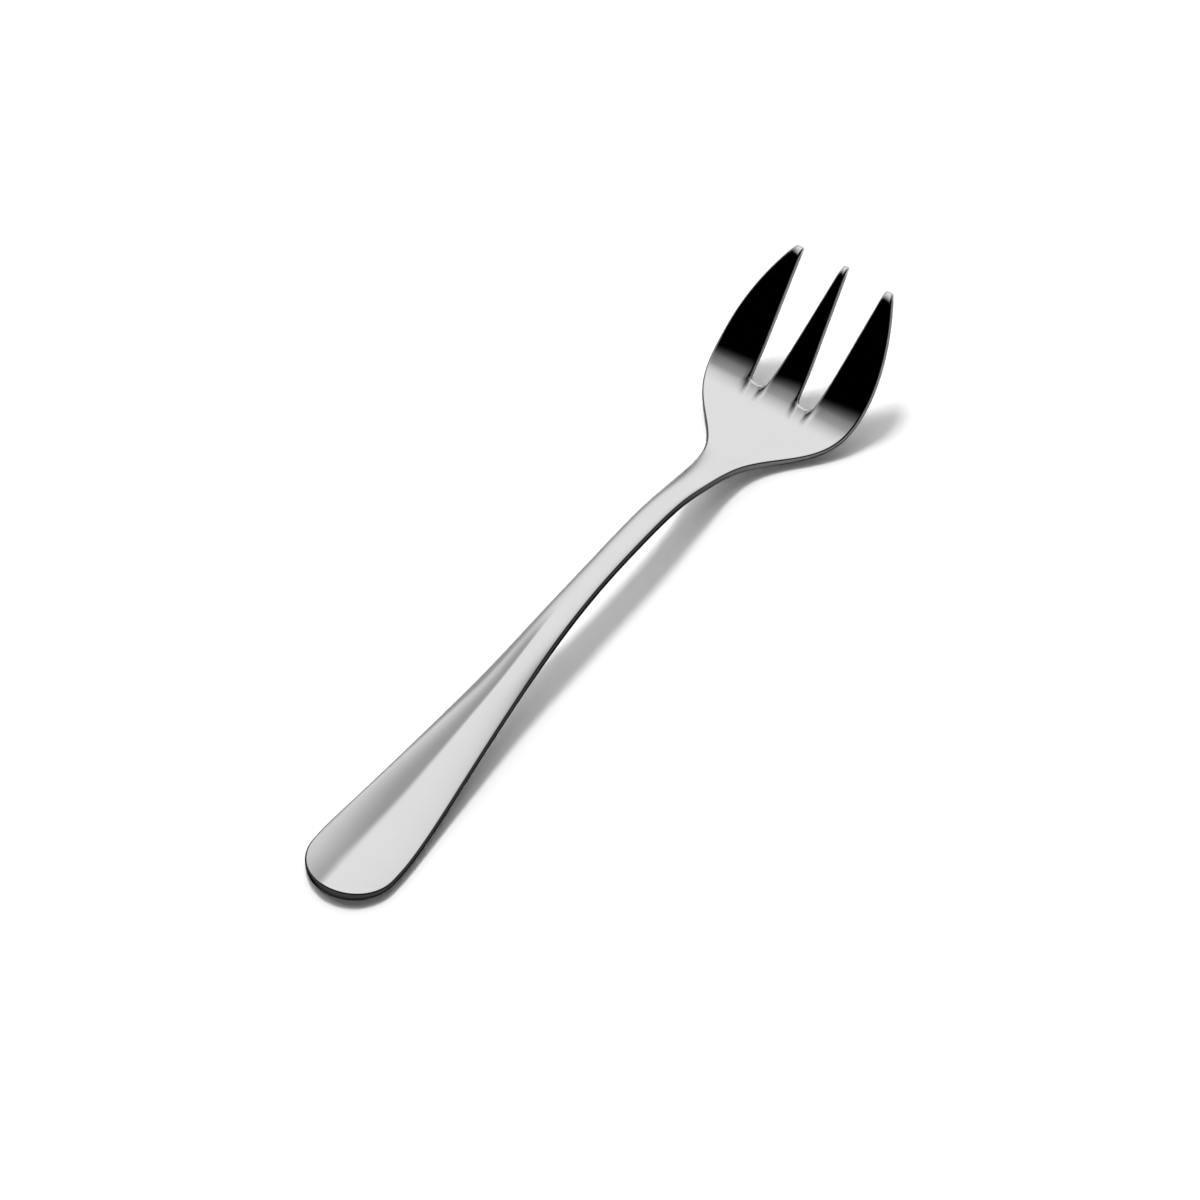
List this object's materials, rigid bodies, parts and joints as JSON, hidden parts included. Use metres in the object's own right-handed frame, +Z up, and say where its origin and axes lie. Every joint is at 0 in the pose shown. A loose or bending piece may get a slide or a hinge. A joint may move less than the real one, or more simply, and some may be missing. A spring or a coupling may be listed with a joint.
{
  "type": "small table fork",
  "caption": "Small polished steel table fork with a wide round-ended handle, a slim arched neck, a shallow dished head and long upswept tapered tines.",
  "frame": {"origin": "middle of the fork's length and width, on the table that it lies on", "axes": "+X from the handle to the tines, +Y to the left tine, +Z up from the table"},
  "size_m": [0.1455, 0.0284, 0.0179],
  "materials": {
    "polished_steel": "mirror-polished stainless steel, not plated"
  },
  "bodies": {
    "root": {"handle": "polished_steel", "neck": "polished_steel", "head": "polished_steel", "left_tine": "polished_steel", "middle_tine": "polished_steel", "right_tine": "polished_steel"}
  },
  "joints": []
}
